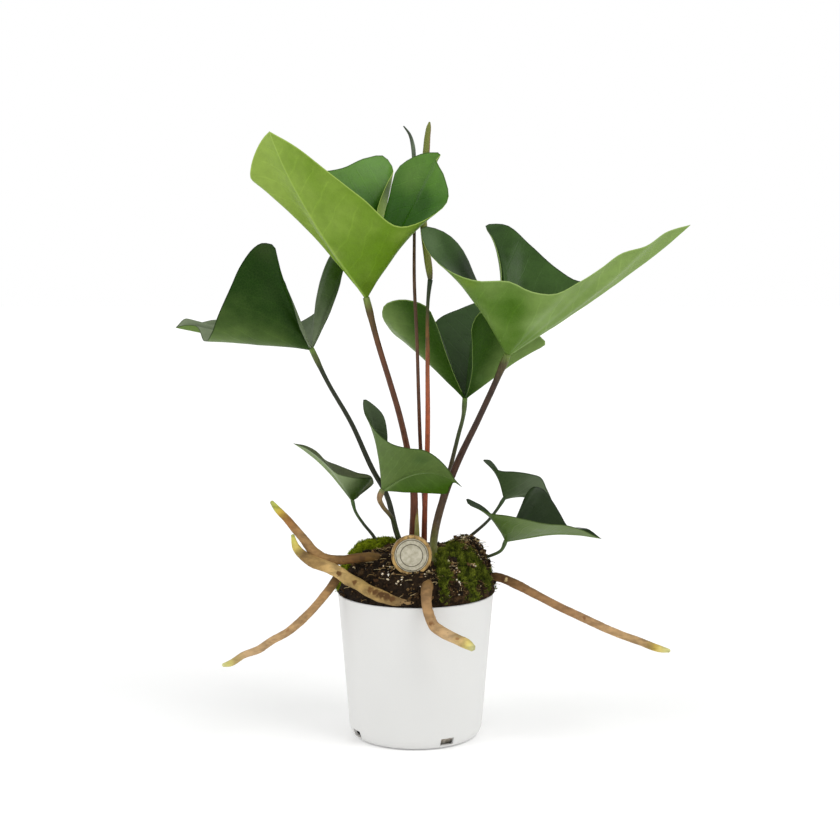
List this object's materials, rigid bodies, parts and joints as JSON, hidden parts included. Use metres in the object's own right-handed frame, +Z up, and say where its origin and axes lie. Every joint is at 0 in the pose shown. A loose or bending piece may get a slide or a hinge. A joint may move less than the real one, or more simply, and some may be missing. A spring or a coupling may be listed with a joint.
{
  "type": "potted arrow anthurium",
  "caption": "Small potted aroid with three-lobed arrow-shaped leaves on long stalks, a flower spike, thick creeping roots and moss over a plain tapered nursery pot.",
  "frame": {"origin": "centre of the pot's flat underside", "axes": "+Z up along the pot's axis, +X to the right and -Y towards the viewer in the front view"},
  "size_m": [0.3942, 0.2061, 0.4701],
  "materials": {
    "pot": "satin injection-moulded white plastic, faint scuffs and a soft sheen",
    "soil": "damp dark potting mix of peat, bark and coir with white perlite grains",
    "moss": "soft matt moss cushion of short upright shoots, yellow-green at the tips",
    "leaf": "leathery leaf: satin dark green above, lighter matt green with raised veins below",
    "stalk": "smooth satin stalk, dark green to red-brown, thickened at both ends",
    "flower_stalk": "smooth slender stalk, orange-red, dark green towards its top",
    "spadix": "finely pebbled olive spike with a red-brown side",
    "sheath": "papery olive bud sheath with fine lengthwise lines",
    "root": "rough tan aerial root with fine cracks, paler rings and a yellow-green growing tip",
    "tag_rim": "thin golden rim, worn satin",
    "tag_face": "plain cream disc, matt, with a fine raised ring"
  },
  "bodies": {
    "root": {"pot": "pot", "soil": "soil", "moss_back": "moss", "moss_right": "moss", "leaf_top": "leaf", "stalk_top": "stalk", "leaf_left": "leaf", "stalk_left": "stalk", "leaf_right": "leaf", "stalk_right": "stalk", "leaf_back": "leaf", "stalk_back": "stalk", "leaf_small_centre": "leaf", "stalk_small_centre": "stalk", "leaf_small_left": "leaf", "stalk_small_left": "stalk", "leaf_small_right": "leaf", "stalk_small_right": "stalk", "leaf_low_right": "leaf", "stalk_low_right": "stalk", "young_leaf": "stalk", "flower_stalk": "flower_stalk", "spadix": "spadix", "stem_sheath": "sheath", "root_left_low": "root", "root_left_forked": "root", "root_front": "root", "root_right": "root", "tag_cap": "tag_rim", "tag_face": "tag_face"}
  },
  "joints": []
}
